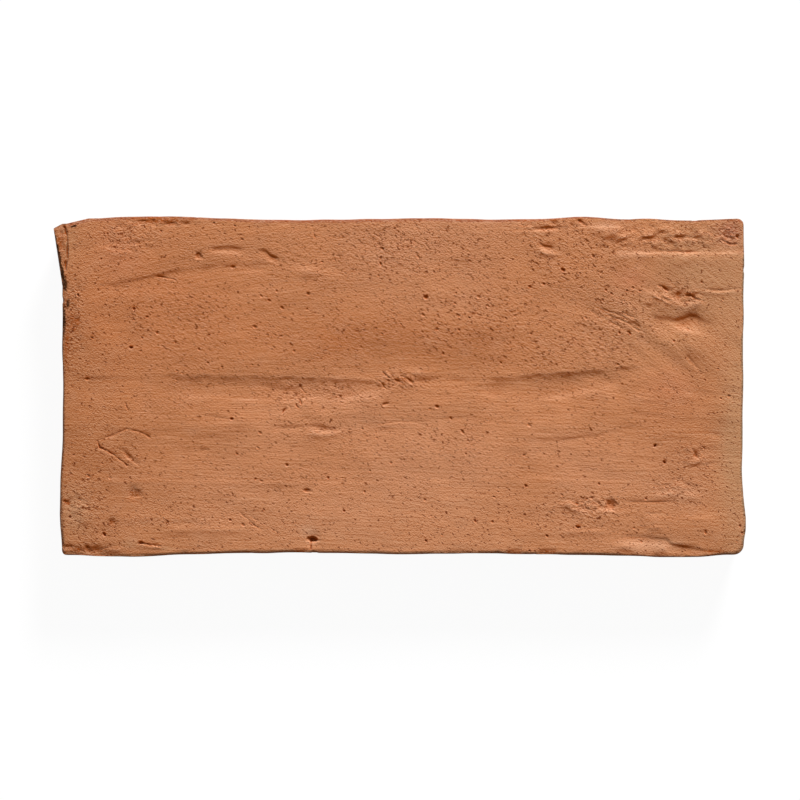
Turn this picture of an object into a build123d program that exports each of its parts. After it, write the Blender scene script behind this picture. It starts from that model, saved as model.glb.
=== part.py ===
"""Handmade terracotta floor tile.

One slab of clay, thrown into an open wooden mould, struck off by hand, turned out, dried and fired.
The bed lies on the XY plane with its centre at the origin and +Z is up through the struck face.
X runs along the length from the left end to the right, and Y from the near edge to the far one.
"""

import os
from math import atan2, cos, exp, pi, radians, sin, tan

from build123d import *

# Driving dimensions of the slab, in millimetres
length = 300.0
width = 148.0
thickness = 25.0
undercut = 1.2  # the bed is set in from the widest outline by this much on every side
edge_wave = 1.1  # furthest that a side wanders from its straight line
bed_round = 1.6  # rounding from the bed into the sides
arris_drop = 1.8  # the sides start to round over this far below the struck face
arris_round = 2.0  # with this radius
arris_turn = 55.0  # and until they lean in by this angle
round_steps = 3  # levels of the outline in each of these roundings
overrun = 3.0  # how far the clay is carried past what is cut from it

# Corners, named by their edge and end
near_left_radius = 1.8
near_right_radius = 4.6
far_right_radius = 2.8
far_left_radius = 2.0
far_left_run = 11.5  # the far edge slopes in to its left corner over this run
far_left_drop = 2.4  # and by this much

# Burr of clay at the far left corner, where the mould's joint stood open
burr_out = 3.9
burr_run = 25.0
burr_tip_drop = 4.3  # from the far edge's straight line to the burr's tip
burr_below_face = 1.2
burr_root = 3.0  # how deep the burr is rooted in the slab
burr_lip_round = 0.6
burr_foot_share = 0.45  # what is left of the reach at the bed
burr_bow_shares = (0.52, 0.47)  # of the run and of the reach, where the outer side bows

# Relief of the struck face
finger = 14.0  # width of the tool that struck it: a wet hand
relief = 1.7  # depth that the strokes are shares of
section_count = 56  # sections along the length that the struck clay is lofted through
section_points = 56  # steps across each of them

# Blowholes in the struck face
blowhole = 5.4  # mouth of the widest
blowhole_depth = 1.5

# Wander of each side: share of the side's run, share of edge_wave outwards
near_wave_shares = (
    (0.056, 0.64), (0.20, -0.12), (0.37, -0.80), (0.50, -0.28),
    (0.58, -0.48), (0.75, 0.08), (0.85, 0.60), (0.95, 0.74),
)
right_wave_shares = ((0.04, 0.68), (0.14, -0.04), (0.295, -0.52), (0.45, -0.04), (0.64, -0.28), (0.88, 0.16))
far_wave_shares = (
    (0.07, -0.76), (0.135, -0.16), (0.175, -0.32), (0.22, 0.64), (0.30, 0.12),
    (0.39, -0.32), (0.48, 0.12), (0.57, -0.28), (0.78, 0.04), (0.95, 0.64),
)
left_wave_shares = ((0.17, -0.12), (0.30, 0.0), (0.47, -0.28), (0.66, 0.20), (0.78, 0.76), (0.875, 1.0), (0.965, 0.32))

# Strokes along X: start and end as shares of the length, the course as shares of the width at the start,
# middle and end, the far and near sides as shares of a finger, and the depth as a share of the relief
stroke_shares = (
    (-0.48, 0.03, 0.012, 0.006, 0.004, 0.30, 0.75, 0.48),
    (0.10, 0.42, 0.004, 0.012, 0.040, 0.30, 0.95, 0.50),
    (-0.21, 0.14, -0.134, -0.123, -0.097, 0.24, 0.42, 0.22),
    (0.15, 0.38, -0.160, -0.150, -0.112, 0.24, 0.50, 0.12),
    (-0.46, -0.11, 0.285, 0.335, 0.343, 0.35, 0.95, 0.24),
    (-0.31, -0.16, 0.405, 0.394, 0.362, 0.24, 0.45, 0.22),
    (-0.50, 0.46, -0.278, -0.290, -0.280, 0.60, 0.60, 0.08),
    (0.30, 0.56, 0.410, 0.406, 0.404, 0.50, 0.24, 0.30),
    (0.16, 0.56, 0.505, 0.500, 0.500, 1.00, 0.38, 0.40),
    (0.29, 0.49, -0.470, -0.478, -0.505, 0.34, 0.95, 0.75),
    (-0.56, -0.39, -0.495, -0.512, -0.500, 0.36, 0.60, 0.55),
)

# Sweeps of the hand about a point: centre as shares of the length and width, radius as a share of the width,
# start and end in degrees, the outer and inner sides as shares of a finger, and the depth share
sweep_shares = (
    (0.167, -0.372, 0.640, 10.0, 105.0, 0.45, 1.00, 0.26),
)

# Dents: centre as shares of the length and width, half sizes as shares of a finger, and the depth share
dent_shares = (
    (0.4135, 0.198, 0.75, 0.32, 0.72),
    (0.395, 0.285, 0.80, 0.35, 0.22),
    (-0.004, 0.073, 3.40, 0.95, 0.26),
    (0.076, 0.340, 1.10, 0.85, 0.18),
    (-0.470, -0.020, 0.60, 1.10, 0.22),
)

# Blowholes: centre as shares of the length and width, mouth and depth as shares of the widest
blowhole_shares = (
    (-0.394, -0.315, 1.00, 0.90),
    (-0.132, -0.456, 0.95, 1.00),
    (-0.427, -0.402, 0.75, 0.55),
    (-0.438, -0.438, 0.55, 0.70),
    (0.305, -0.347, 0.75, 0.75),
    (-0.141, -0.310, 0.65, 0.50),
    (0.369, -0.176, 0.50, 0.70),
    (0.383, -0.225, 0.45, 0.65),
    (-0.301, 0.388, 0.55, 0.60),
    (0.235, 0.348, 0.50, 0.55),
)


def through(shares, place):
    """A curve through three shares, met at places 0, a half and 1."""
    start, middle, end = shares
    return start * (1 - place) * (1 - 2 * place) + middle * 4 * place * (1 - place) + end * place * (2 * place - 1)


def fade(place):
    """1 in the middle of a stroke, easing to 0 at its two ends and beyond them."""
    return sin(pi * place) ** 2 if 0 < place < 1 else 0.0


def trough(across, far_side, near_side):
    """Cross-section of a stroke: 1 along its deepest line, with a slope of its own to either side."""
    side = far_side if across > 0 else near_side
    return exp(-((across / side) ** 2))


def stroke_depth(x, y, stroke):
    start, end, *course, far_share, near_share, depth_share = stroke
    place = (x / length - start) / (end - start)
    across = y - width * through(course, place)
    return relief * depth_share * fade(place) * trough(across, finger * far_share, finger * near_share)


def sweep_depth(x, y, sweep):
    centre_x, centre_y, radius_share, start, end, outer_share, inner_share, depth_share = sweep
    from_x = x - length * centre_x
    from_y = y - width * centre_y
    place = (atan2(from_y, from_x) - radians(start)) / radians(end - start)
    across = (from_x**2 + from_y**2) ** 0.5 - width * radius_share
    return relief * depth_share * fade(place) * trough(across, finger * outer_share, finger * inner_share)


def dent_depth(x, y, dent):
    centre_x, centre_y, half_x_share, half_y_share, depth_share = dent
    along = (x - length * centre_x) / (finger * half_x_share)
    across = (y - width * centre_y) / (finger * half_y_share)
    return relief * depth_share * exp(-(along**2) - across**2)


def face_height(x, y):
    """Height of the struck face above the bed."""
    depth = sum(stroke_depth(x, y, stroke) for stroke in stroke_shares)
    depth += sum(sweep_depth(x, y, sweep) for sweep in sweep_shares)
    depth += sum(dent_depth(x, y, dent) for dent in dent_shares)
    return thickness - depth


def wavy_side(start, end, outwards, wave_shares):
    """A side from start to end that wanders about the straight line and runs along it at both ends."""
    run = end - start
    waves = [(0, 0), *wave_shares, (1, 0)]
    points = [start + run * along + outwards * (edge_wave * out) for along, out in waves]
    places = [along for along, out in waves]
    return Edge.make_spline(points, tangents=(run, run), parameters=places, scale=False)


def corner(start, end, centre, radius):
    """A round corner from the end of one side to the start of the next."""
    middle = centre + ((start + end) / 2 - centre).normalized() * radius
    return ThreePointArc(start, middle, end)


def outline(inset, height):
    """The slab's outline at that height, set in from its widest."""
    half_x = length / 2 - inset
    half_y = width / 2 - inset
    right = Vector(1, 0, 0)
    far = Vector(0, 1, 0)
    near_left = Vector(near_left_radius - half_x, near_left_radius - half_y, height)
    near_right = Vector(half_x - near_right_radius, near_right_radius - half_y, height)
    far_right = Vector(half_x - far_right_radius, half_y - far_right_radius, height)
    far_left = Vector(far_left_radius - half_x, half_y - far_left_drop - far_left_radius, height)
    near_start = near_left - far * near_left_radius
    near_end = near_right - far * near_right_radius
    right_start = near_right + right * near_right_radius
    right_end = far_right + right * far_right_radius
    far_start = far_right + far * far_right_radius
    slope_start = Vector(far_left_run - half_x, half_y, height)
    slope_end = far_left + far * far_left_radius
    left_start = far_left - right * far_left_radius
    left_end = near_left - right * near_left_radius
    edges = [
        wavy_side(near_start, near_end, -far, near_wave_shares),
        corner(near_end, right_start, near_right, near_right_radius),
        wavy_side(right_start, right_end, right, right_wave_shares),
        corner(right_end, far_start, far_right, far_right_radius),
        wavy_side(far_start, slope_start, far, far_wave_shares),
        Line(slope_start, slope_end),
        corner(slope_end, left_start, far_left, far_left_radius),
        wavy_side(left_start, left_end, -right, left_wave_shares),
        corner(left_end, near_start, near_left, near_left_radius),
    ]
    return make_face(edges)


def side_levels():
    """Inset and height of the outline, level by level: round the bed, up the side and over the arris."""
    levels = []
    for step in range(round_steps + 1):
        turn = radians(90) * step / round_steps
        levels.append((undercut + bed_round * (1 - sin(turn)), bed_round * (1 - cos(turn))))
    for step in range(round_steps + 1):
        turn = radians(arris_turn) * step / round_steps
        levels.append((arris_round * (1 - cos(turn)), thickness - arris_drop + arris_round * sin(turn)))
    inset, height = levels[-1]
    crown = thickness + overrun
    levels.append((inset + (crown - height) * tan(radians(arris_turn)), crown))
    return levels


def moulded_slab():
    """The slab as the mould shaped it, over-full: its sides run on past the face that is still to be struck."""
    return loft([outline(inset, height) for inset, height in side_levels()], ruled=True)


def struck_section(x):
    """Section across the clay at x: its struck face on top, and carried past the slab all round."""
    half_y = width / 2 + overrun
    steps = [point / section_points for point in range(section_points + 1)]
    places = [half_y * (2 * step - 1) for step in steps]
    top = [Vector(x, y, face_height(x, y)) for y in places]
    near_foot = Vector(x, -half_y, -overrun)
    far_foot = Vector(x, half_y, -overrun)
    edges = [
        Edge.make_spline(top, parameters=steps),
        Line(top[-1], far_foot),
        Line(far_foot, near_foot),
        Line(near_foot, top[0]),
    ]
    return make_face(edges)


def struck_clay():
    """The clay under the hand's strokes, lofted through its sections from end to end."""
    half_x = length / 2 + overrun
    return loft([struck_section(half_x * (2 * step / section_count - 1)) for step in range(section_count + 1)])


def burr_outline(reach, inset, height):
    """Plan of the burr, rooted in the slab's left side."""
    side = inset - length / 2
    tip_y = width / 2 - burr_tip_drop
    tail_y = tip_y - burr_run
    shoulder_y = width / 2 - far_left_drop - inset
    bow_run_share, bow_reach_share = burr_bow_shares
    tip = Vector(side - reach, tip_y, height)
    bow = Vector(side - reach * bow_reach_share, tip_y - burr_run * bow_run_share, height)
    tail = Vector(side, tail_y, height)
    root_tail = Vector(side + burr_root, tail_y, height)
    root_shoulder = Vector(side + burr_root, shoulder_y, height)
    shoulder = Vector(side, shoulder_y, height)
    edges = [Spline(tip, bow, tail), *Polyline(tail, root_tail, root_shoulder, shoulder, tip).edges()]
    return make_face(edges)


def burr():
    """The burr, drawn in towards the bed, with its lip rounded."""
    foot = burr_outline(burr_out * burr_foot_share, undercut, bed_round)
    top = burr_outline(burr_out, 0, thickness - burr_below_face)
    body = loft([foot, top], ruled=True)
    outer_side = body.faces().sort_by(Axis.X)[0]
    return fillet(outer_side.edges().sort_by(Axis.Z)[-1], burr_lip_round)


def blowholes():
    """Round hollows where gas burst through the face, each a ball that dips into it."""
    hollows = []
    for x_share, y_share, mouth_share, depth_share in blowhole_shares:
        x = length * x_share
        y = width * y_share
        half_mouth = blowhole * mouth_share / 2
        depth = blowhole_depth * depth_share
        radius = (half_mouth**2 + depth**2) / (2 * depth)
        hollows.append(Pos(x, y, face_height(x, y) - depth + radius) * Sphere(radius))
    return hollows


def tile():
    return (moulded_slab() & struck_clay()) + burr() - blowholes()


os.makedirs("parts", exist_ok=True)
solid = tile()
export_step(solid, "parts/tile.step")
print("tile", solid.is_valid, len(solid.solids()), round(solid.volume), solid.bounding_box())
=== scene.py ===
"""Dresses the terracotta tile: the fine relief of its struck face, the clay's colours and a plain studio.

Lengths are metres unless a name says otherwise. Places on the face are pixels of the photograph, which
looks straight down on it, and depths there are millimetres.
"""

from math import cos, radians, sin

import bmesh
import bpy
import numpy as np
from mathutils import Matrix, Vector
from mathutils.bvhtree import BVHTree


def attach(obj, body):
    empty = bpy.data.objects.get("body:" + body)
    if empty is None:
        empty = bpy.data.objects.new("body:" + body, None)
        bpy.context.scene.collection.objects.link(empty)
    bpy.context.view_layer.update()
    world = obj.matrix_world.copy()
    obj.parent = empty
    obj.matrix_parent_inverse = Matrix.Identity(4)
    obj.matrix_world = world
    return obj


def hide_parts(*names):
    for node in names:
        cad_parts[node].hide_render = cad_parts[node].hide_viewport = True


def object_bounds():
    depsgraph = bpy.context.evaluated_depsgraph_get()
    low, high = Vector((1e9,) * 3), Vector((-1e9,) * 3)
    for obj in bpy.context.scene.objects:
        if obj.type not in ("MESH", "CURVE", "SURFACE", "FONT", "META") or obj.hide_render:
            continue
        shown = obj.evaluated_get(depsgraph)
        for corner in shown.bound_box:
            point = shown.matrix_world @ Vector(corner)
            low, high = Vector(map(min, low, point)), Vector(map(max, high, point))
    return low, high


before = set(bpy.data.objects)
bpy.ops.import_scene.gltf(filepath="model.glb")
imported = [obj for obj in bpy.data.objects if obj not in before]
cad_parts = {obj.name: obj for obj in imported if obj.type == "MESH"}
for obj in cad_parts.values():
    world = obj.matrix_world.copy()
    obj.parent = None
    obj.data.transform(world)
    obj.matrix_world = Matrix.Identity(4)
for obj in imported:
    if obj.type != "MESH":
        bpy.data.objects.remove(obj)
cad_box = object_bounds()

# The photograph: how it lies over the tile
MM = 0.001
IMAGE_PX = 800
PX = 0.44 * MM
CENTRE_PX = (403.0, 386.65)
FACE_Z = cad_box[1][2]

# The raster that the relief is drawn on
RASTER_LOW_PX = (44.0, 206.0)
RASTER_SIZE_PX = (712, 362)
FINE_PX = 0.5
COARSE_PX = 2.0
SEED = 21

# The mesh: its spacing, height and size of the detail that a face is cut finer for, cuts, and triangles kept
VOXEL = 0.5 * MM
DETAIL = 0.022
DETAIL_PX = 1.8
CUTS = 2
TRIANGLES = 194000

# The frame's own face: its reach below the top, where it starts beside the burr, its blur, the least weight
# of that blur, and the weights between which its edges fade
FACE_REACH = 2.2 * MM
FACE_LEFT_PX = 66
FACE_BLUR_PX = 3.5
LEAST_WEIGHT = 0.05
EDGE_WEIGHTS = (0.9, 0.995)


def smooth_step(value, low, high):
    share = np.clip((value - low) / (high - low), 0, 1)
    return share * share * (3 - 2 * share)


class Raster:
    """Numbers over the photograph's pixels, at an even spacing."""

    def __init__(self, spacing):
        self.spacing = spacing
        across = np.arange(0, RASTER_SIZE_PX[0], spacing) + RASTER_LOW_PX[0]
        down = np.arange(0, RASTER_SIZE_PX[1], spacing) + RASTER_LOW_PX[1]
        self.x, self.y = np.meshgrid(across, down)

    def blur(self, field, along, across=None):
        """The field, blurred by that many pixels along and across the tile."""
        across = along if across is None else across
        rows, columns = field.shape
        down = np.fft.fftfreq(rows, self.spacing)[:, None]
        right = np.fft.rfftfreq(columns, self.spacing)[None, :]
        keep = np.exp(-2 * np.pi**2 * ((right * along) ** 2 + (down * across) ** 2))
        return np.fft.irfft2(np.fft.rfft2(field) * keep, s=field.shape)

    def noise(self, seed, along, across=None):
        """A smooth random field of unit spread with grains of that size in pixels."""
        white = np.random.default_rng(SEED + seed).standard_normal(self.x.shape)
        field = self.blur(white, along, across)
        return field / field.std()

    def sample(self, field, px, py):
        """The field's value at each of those places."""
        rows, columns = field.shape
        last = 1.001  # a little more than a cell from the end, so that each place has a next cell
        right = np.clip((px - RASTER_LOW_PX[0]) / self.spacing, 0, columns - last)
        down = np.clip((py - RASTER_LOW_PX[1]) / self.spacing, 0, rows - last)
        column = right.astype(int)
        row = down.astype(int)
        right -= column
        down -= row
        upper = field[row, column] * (1 - right) + field[row, column + 1] * right
        lower = field[row + 1, column] * (1 - right) + field[row + 1, column + 1] * right
        return upper * (1 - down) + lower * down

    def patch(self, points, reach):
        """The rows and columns within that reach of the points."""
        spans = []
        for axis in (1, 0):
            places = [point[axis] - RASTER_LOW_PX[axis] for point in points]
            low = max(0, int((min(places) - reach) / self.spacing))
            high = max(low + 1, int((max(places) + reach) / self.spacing) + 1)
            spans.append(slice(low, high))
        return tuple(spans)


fine = Raster(FINE_PX)
coarse = Raster(COARSE_PX)

# Two fields that make the marks uneven, a slow one and a quick one
wander = fine.noise(1, 6)
ragged = fine.noise(2, 1.6)

# Wide ridges that fill part of the frame's own wide troughs, before a scarp or a stroke is cut into each:
# the line from left to right where the far side is steepest, depth, and widths of the far and near sides
# in pixels. A depth below zero is a ridge.
FILLS = (
    (((76, 376), (250, 378), (423, 379)), -0.36, 9.5, 24),
    (((471, 378.5), (580, 376), (689, 366.5)), -0.3, 9.5, 30),
    (((601, 537.3), (669, 540), (737, 549)), -0.75, 10.8, 30),
)

# Scarps of the long trough across the middle, crisp at the top: the edge from left to right, depth, and
# how many pixels the steep part and the whole way back up take
SCARPS = (
    (((62, 376.5), (110, 376.5), (170, 375.6)), 0.34, 3.6, 14),
    (((146, 375.6), (180, 375.2), (225, 375.2), (260, 375.8), (300, 377.4), (335, 379), (372, 380.4)),
     1.26, 9.5, 27),
    (((336, 379), (365, 380), (398, 381.5)), 0.48, 3.0, 12),
    (((474, 377.6), (505, 376.2), (530, 374.8), (560, 372.6), (592, 370.2)), 1.5, 11.0, 31),
    (((508, 376), (530, 374.8), (560, 372.6), (592, 370.2)), 0.48, 10.0, 28),
    (((560, 373), (585, 371), (605, 369.4), (622, 368), (645, 366)), 0.98, 7.4, 24),
)

# Strokes of the hand, given like the fills
STROKES = (
    # the lips below the long trough, and what crosses its middle
    (((262, 386), (285, 387), (310, 386)), 0.14, 3, 6),
    (((160, 396), (210, 398), (250, 401), (330, 403)), -0.38, 3.6, 24),
    (((276, 401), (300, 398), (345, 399.5), (360, 395), (390, 395)), -0.36, 4.0, 26),
    (((462, 394), (515, 397), (550, 399), (580, 393), (620, 385), (662, 371)), -0.36, 4.5, 26),
    (((368, 372), (400, 371), (458, 371)), -0.16, 1.6, 2.2),
    (((400, 379), (440, 378.5), (486, 378.5)), 0.3, 3.0, 7),
    (((606, 368.6), (628, 367.6), (660, 365)), 0.13, 1.6, 5),
    # the lower middle
    (((258, 426), (296, 427), (315, 425.5), (340, 428.5), (349, 425)), 0.26, 2.2, 5),
    (((349, 425), (400, 421), (447, 417), (486, 416)), 0.11, 1.6, 4),
    (((440, 417.5), (470, 416.8), (484, 416.2)), 0.08, 1.0, 2),
    (((300, 431), (325, 432.5), (354, 431)), -0.4, 1.8, 5),
    (((364, 426), (395, 423.5), (420, 421.5)), -0.22, 1.3, 3),
    (((202, 416), (219, 417.5), (234, 418.5)), 0.34, 1.3, 2.6),
    (((381, 404.4), (390, 402.6)), 0.55, 0.9, 1.2),
    (((198, 449), (211, 449.5)), 0.24, 1.2, 2.6),
    (((84, 480), (160, 480.5), (254, 481)), -0.11, 1.8, 4),
    (((245, 482), (330, 482.5), (420, 483)), -0.13, 1.8, 4),
    (((400, 482), (560, 479), (690, 484)), -0.07, 2.2, 4),
    (((506, 442), (560, 438.5), (594, 435), (620, 430), (634, 425), (652, 424)), 0.16, 1.9, 5),
    (((130, 520), (160, 519), (216, 522)), 0.08, 2, 5),
    (((150, 526), (200, 527), (256, 528)), -0.18, 2.5, 5),
    # the upper left
    (((92, 246), (112, 250.5), (144, 253)), -0.22, 3.0, 5),
    (((204, 246.5), (217, 248), (229, 247.5), (250, 250)), 0.5, 2.4, 5),
    (((200, 251), (228, 253), (252, 255.5)), -0.22, 2.0, 5),
    (((268, 266), (305, 268), (344, 270)), -0.42, 6, 16),
    (((253, 249.5), (266, 251), (271, 254.5), (281, 258.5)), 0.46, 2.2, 5),
    (((250, 256), (270, 261), (290, 263)), -0.18, 2.6, 5),
    (((88, 286), (119, 283.5), (151, 276), (175, 271.5), (221, 266), (270, 263), (290, 262)), 0.34, 2.8, 8),
    (((165, 281), (221, 273), (279, 269.5), (350, 272)), -0.24, 3, 10),
    (((86, 297), (140, 292), (200, 287)), -0.16, 4, 9),
    (((150, 305), (200, 297), (260, 288), (330, 286)), -0.12, 4, 9),
    (((150, 318), (210, 312), (290, 306), (370, 308)), 0.04, 4, 10),
    # the far edge and the torn clay along its right half
    (((127, 221), (150, 220.5), (175, 222), (200, 220)), 0.26, 2.6, 2.5),
    (((275, 222), (294, 221.5)), 0.4, 2, 2),
    (((529, 229.5), (540, 228), (566, 226.5), (572, 227.5)), 0.38, 1.2, 1.6),
    (((500, 231), (530, 231.5), (566, 230)), -0.2, 1.4, 3),
    (((586, 227), (606, 227.5), (626, 227)), -0.52, 2.4, 9),
    (((614, 252), (632, 253.5), (650, 254)), -0.4, 2.2, 4),
    (((536, 241), (544, 245), (556, 247.5)), 0.38, 1.3, 2.4),
    (((534, 247.5), (545, 251), (560, 253.5)), -0.34, 2.0, 3.4),
    (((600, 245), (651, 245), (680, 245), (746, 244), (800, 243)), 0.06, 8, 9),
    (((600, 255), (651, 254), (708, 254), (746, 252.5), (800, 251)), -0.44, 2.2, 9),
    (((650, 250.5), (680, 251), (706, 250.8)), 0.36, 0.9, 1.0),
    (((668, 237), (688, 235.5), (704, 236.5)), 0.3, 1.3, 2.4),
    (((664, 240), (690, 239.5), (712, 240.5)), -0.18, 1.8, 7),
    # the right end: ridge, torn flaps and the thumb's dent
    (((676, 288.6), (702, 288), (722, 289), (746, 287.5), (770, 287)), 0.16, 1.0, 1.6),
    (((680, 291), (715, 290.5), (746, 290), (780, 289)), -0.12, 1.4, 2.6),
    (((676, 302.5), (692, 303), (706, 304.5)), -0.26, 1.6, 5),
    (((642, 311), (664, 318.5), (674, 320), (682, 318), (690, 314.5), (696, 316), (701, 320), (711, 322.5),
      (722, 325)), 0.66, 3.6, 12),
    (((652, 323), (676, 325), (690, 331), (701, 335), (728, 346)), -0.4, 4.5, 24),
    (((650, 336), (680, 339), (712, 346)), -0.2, 6, 20),
    (((644, 282), (662, 286), (684, 291)), 0.26, 3.0, 6),
    (((664, 292), (690, 294), (714, 298.5)), 0.48, 3.6, 6),
    (((620, 297), (648, 305), (676, 314)), 0.3, 5, 8),
    (((684, 466), (705, 464), (722, 460)), 0.24, 2, 4),
    (((648, 483), (664, 484), (682, 482.5)), 0.26, 1.4, 3),
    (((644, 494), (672, 493.5), (708, 494)), -0.32, 3.0, 6),
    # the near edge: the ledge at its right and the slumps along it
    (((610, 537), (628, 535), (650, 537), (666, 539), (673, 544), (688, 547), (712, 549.5)), 0.62, 3.2, 9),
    (((602, 545), (640, 543.5), (678, 548)), -0.46, 5, 5),
    (((672, 545), (690, 548.5), (714, 550.5), (732, 551.5)), 0.3, 2.0, 4),
    (((596, 511), (640, 511.5), (688, 511)), -0.14, 2.2, 5),
    (((642, 512), (652, 512.5), (664, 512)), 0.2, 1.2, 2),
    (((636, 518), (680, 517.5), (730, 517)), -0.26, 4, 9),
    (((646, 527), (656, 526), (666, 527.5)), -0.24, 1.6, 3),
    (((616, 501.8), (644, 501.5), (684, 501)), 0.2, 0.8, 1.2),
    (((566, 509), (592, 510), (624, 510.5)), -0.34, 2.6, 13),
    (((556, 530.5), (580, 531), (616, 530.5)), -0.36, 2.4, 5),
    (((60, 545), (80, 547), (94, 548), (118, 552)), 0.46, 1.8, 6),
    (((290, 549.5), (311, 549)), 0.4, 1.6, 5),
    (((503, 550.5), (524, 549.5)), 0.36, 1.6, 5),
    (((535, 550.5), (561, 549.5)), 0.36, 1.6, 5),
)

# Sweeps of the hand about a centre: radius in pixels, start and end in degrees from straight up, depth, and
# widths of the outer and inner sides in pixels
SWEEP_CENTRE_PX = (517.0, 512.0)
SWEEPS = (
    (216, 4, 76, 0.2, 13, 6.5),
    (236, 30, 64, 0.1, 4, 6),
    (198, 12, 60, 0.07, 4, 6),
    (180, 20, 75, 0.06, 5, 6),
)

# Scratches, straws and cracks: course, depth, and width in pixels
SCRATCHES = (
    (((64.8, 228), (66.5, 239), (67.4, 251), (66.6, 260), (65, 270)), 0.55, 1.1),
    (((380, 381), (386, 389)), 0.3, 0.8),
    (((384, 373), (389, 378)), 0.24, 0.8),
    (((401, 376), (408, 379), (413, 383)), 0.32, 0.9),
    (((396, 380), (402, 383)), 0.3, 0.8),
    (((283, 412), (286, 408)), 0.34, 0.7),
    (((288, 405), (291, 409)), 0.38, 0.7),
    (((296, 404), (299, 409)), 0.38, 0.7),
    (((300, 400), (302, 404)), 0.38, 0.7),
    (((301, 388), (305, 393)), 0.18, 0.8),
    (((125.5, 403), (128, 410)), 0.26, 0.7),
    (((97, 441), (100, 447.6), (109, 453), (119, 460), (127, 466)), 0.48, 0.8),
    (((97, 440.6), (111, 435.5), (127, 428.5), (138, 431), (150, 437)), 0.26, 0.9),
    (((122, 451), (130, 458), (137, 464)), 0.3, 2.2),
    (((157, 276.5), (163, 277), (175, 279)), 0.42, 0.5),
    (((311.6, 227), (313, 233), (315.5, 237.5)), 0.3, 0.8),
    (((722, 240), (727, 243), (731, 244.5), (737, 244)), 0.34, 0.9),
    (((659, 285), (664, 287), (668, 291)), 0.36, 1.0),
    (((686, 295), (692, 295.5), (696, 299), (703, 301)), 0.42, 1.0),
    (((688, 358), (700, 371), (708, 381)), 0.18, 2.0),
    (((138, 543.5), (141, 543), (150, 544), (161, 546.5)), 0.32, 0.9),
    (((240, 513), (252, 523), (262, 530)), 0.15, 0.8),
    (((250, 516), (264, 525), (277, 532)), 0.13, 0.8),
    (((311, 541), (311, 548)), 0.6, 1.0),
    (((692, 450), (698, 458)), 0.36, 1.6),
    (((600, 308), (622, 316), (640, 327)), 0.2, 1.0),
    (((606, 314), (626, 322), (640, 331)), 0.22, 1.0),
    (((592, 312), (612, 322), (622, 328)), 0.17, 1.0),
    (((622, 312), (634, 318)), 0.24, 0.9),
    (((628, 322), (640, 328)), 0.16, 0.9),
    (((654, 296), (664, 301), (672, 306)), -0.3, 1.4),
    (((662, 295), (672, 300)), -0.26, 1.3),
    (((580, 221), (586, 226)), 0.4, 1.2),
    (((426, 421), (425, 440), (430, 468)), -0.07, 1.6),
    (((438.5, 420), (439, 440), (434, 468)), -0.07, 1.6),
)

# Swells and dents: place, half sizes in pixels, height, and turn in degrees
SWELLS = (
    (118, 446, 17, 7, 0.18, 32),
    (455, 297, 30, 14, 0.12, -8),
    (325, 238, 12, 11, -0.1, 0),
    (732, 230, 13, 14, -0.4, 0),
    (696, 456, 6, 4, -0.3, -40),
    (694, 463, 6, 3, 0.18, -20),
    (716, 435.5, 6, 3, -0.3, 15),
    (80, 420, 16, 20, 0.25, 0),
    (707, 529, 14, 11, 0.2, 0),
    (67.4, 502.8, 4, 3, -0.4, 0),
)

# Pits: place, width in pixels, depth, how much longer than wide, and turn in degrees
PITS = (
    (313, 539.5, 5.5, 1.0, 1.9, 8),
    (134, 493.3, 11.5, 0.1, 1.15, 20),
    (111.6, 522, 5.6, 0.2, 1.2, 20),
    (104.2, 534.6, 2.2, 0.9, 2.0, 50),
    (307, 491, 3.4, 0.4, 2.2, 5),
    (611, 505, 10.0, 0.48, 1.15, 10),
    (655, 446, 2.2, 0.9, 1.6, -45),
    (664.4, 462.5, 2.4, 0.9, 1.2, 60),
    (131, 347.6, 2.8, 0.8, 1.5, 5),
    (198.5, 256.3, 5.2, 0.55, 1.2, 15),
    (563, 270, 2.6, 0.8, 1.9, 40),
    (426, 297.2, 2.8, 0.8, 1.4, 10),
    (462.5, 432, 2.0, 0.55, 2.4, 50),
    (437, 406.8, 2.4, 0.6, 1.6, 20),
    (231.5, 419, 2.4, 0.7, 1.3, 0),
    (141, 543, 2.4, 0.8, 1.6, 5),
    (287, 465, 2.1, 0.8, 1.2, 30),
    (78, 295, 2.1, 0.7, 1.3, 70),
    (134, 309, 2.1, 0.8, 1.0, 0),
    (578.6, 527.4, 2.2, 0.7, 2.0, -15),
)

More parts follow.
